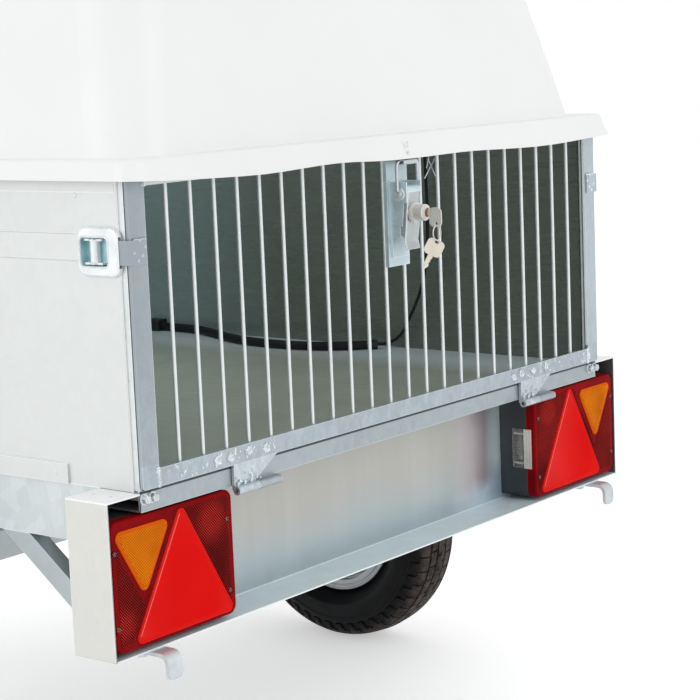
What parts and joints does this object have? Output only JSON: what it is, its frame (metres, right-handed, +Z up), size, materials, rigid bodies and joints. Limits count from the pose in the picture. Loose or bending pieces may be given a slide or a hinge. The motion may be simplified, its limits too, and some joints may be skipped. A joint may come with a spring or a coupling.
{
  "type": "dog trailer",
  "caption": "Car-towed dog trailer: galvanised box with a barred tailgate, white hood lid, light board with lamps, drawbar and jockey wheel.",
  "frame": {"origin": "on the ground under the middle of the whole trailer", "axes": "+X to the right seen from behind, +Y forward along the drawbar, +Z up"},
  "size_m": [1.368, 2.1341, 1.2631],
  "materials": {
    "gate_steel": "bright galvanised",
    "bar_steel": "bright galvanised wire",
    "wall_sheet": "pale galvanised sheet",
    "post_steel": "galvanised",
    "sill_steel": "galvanised",
    "board_steel": "galvanised sheet",
    "frame_steel": "dull hot-dip galvanised",
    "guard_steel": "galvanised sheet",
    "zinc_bright": "bright zinc plate",
    "nickel": "nickel plate",
    "key_brass": "pale brass",
    "lid_gloss": "white gelcoat",
    "lining_film": "glossy film-faced plywood",
    "floor_film": "grey film-faced plywood",
    "lamp_black": "black moulded",
    "lens_red": "red lens",
    "reflector_red": "bright red reflector",
    "lens_amber": "amber lens",
    "lens_clear": "clear window",
    "hose_black": "dull black",
    "clip_black": "black",
    "tyre_rubber": "black tyre with road dust",
    "rim_silver": "silver",
    "wheel_rubber": "solid rubber"
  },
  "bodies": {
    "trailer": {"side_wall_left": "wall_sheet", "side_wall_right": "wall_sheet", "front_wall": "wall_sheet", "lining_left": "lining_film", "lining_right": "lining_film", "lining_front": "lining_film", "rear_posts": "post_steel", "rear_sill": "sill_steel", "floor_board": "floor_film", "chassis_rail_left": "frame_steel", "chassis_rail_right": "frame_steel", "cross_members": "frame_steel", "drawbar": "frame_steel", "axle_beam": "frame_steel", "trailing_arms": "frame_steel", "mudguard_left": "guard_steel", "mudguard_right": "guard_steel", "light_board": "board_steel", "light_board_stays": "board_steel", "rear_hooks": "zinc_bright", "lamp_housings": "lamp_black", "lamp_lenses": "lens_red", "reflector_triangles": "reflector_red", "indicator_lenses": "lens_amber", "plate_light_lens": "lens_clear", "side_latch_pans": "zinc_bright", "side_latch_levers": "zinc_bright", "cable_clips": "clip_black", "floor_hose": "hose_black", "wall_cable": "hose_black", "lid_hinge_bases": "zinc_bright", "coupling_head": "zinc_bright", "coupling_handle": "lamp_black", "jockey_clamp": "zinc_bright"},
    "tailgate": {"tailgate_frame": "gate_steel", "tailgate_bars": "bar_steel", "tailgate_hinges": "gate_steel", "side_keepers": "gate_steel", "lock_plate": "gate_steel", "latch_lever": "zinc_bright", "latch_bail": "zinc_bright", "lock_cylinder": "nickel", "key_ring": "nickel", "spare_key": "key_brass"},
    "lid": {"lid_shell": "lid_gloss", "lid_catch": "zinc_bright", "lid_hinge_leaves": "zinc_bright"},
    "wheel_left": {"tyre_left": "tyre_rubber", "rim_left": "rim_silver"},
    "wheel_right": {"tyre_right": "tyre_rubber", "rim_right": "rim_silver"},
    "jockey_tube": {"jockey_tube": "zinc_bright", "jockey_crank": "zinc_bright"},
    "jockey_fork": {"jockey_fork": "zinc_bright"},
    "jockey_wheel": {"jockey_wheel": "wheel_rubber", "jockey_hub": "rim_silver"}
  },
  "joints": [
    {"name": "tailgate_hinge", "type": "hinge", "parent": "trailer", "child": "tailgate", "pos_m": [0, -0.998, 0.5202], "axis": [1, 0, 0], "range_deg": [0, 165]},
    {"name": "lid_hinge", "type": "hinge", "parent": "trailer", "child": "lid", "pos_m": [0, 0.264, 0.898], "axis": [-1, 0, 0], "range_deg": [0, 65]},
    {"name": "wheel_left_spin", "type": "hinge", "parent": "trailer", "child": "wheel_left", "pos_m": [-0.6085, -0.409, 0.21], "axis": [1, 0, 0], "continuous": true},
    {"name": "wheel_right_spin", "type": "hinge", "parent": "trailer", "child": "wheel_right", "pos_m": [0.6085, -0.409, 0.21], "axis": [1, 0, 0], "continuous": true},
    {"name": "jockey_height", "type": "slide", "parent": "trailer", "child": "jockey_tube", "axis": [0, 0, 1], "range_m": [0, 0.19]},
    {"name": "jockey_swivel", "type": "hinge", "parent": "jockey_tube", "child": "jockey_fork", "pos_m": [0.068, 0.665, 0.3], "axis": [0, 0, 1], "continuous": true},
    {"name": "jockey_spin", "type": "hinge", "parent": "jockey_fork", "child": "jockey_wheel", "pos_m": [0.068, 0.635, 0.095], "axis": [1, 0, 0], "continuous": true}
  ]
}
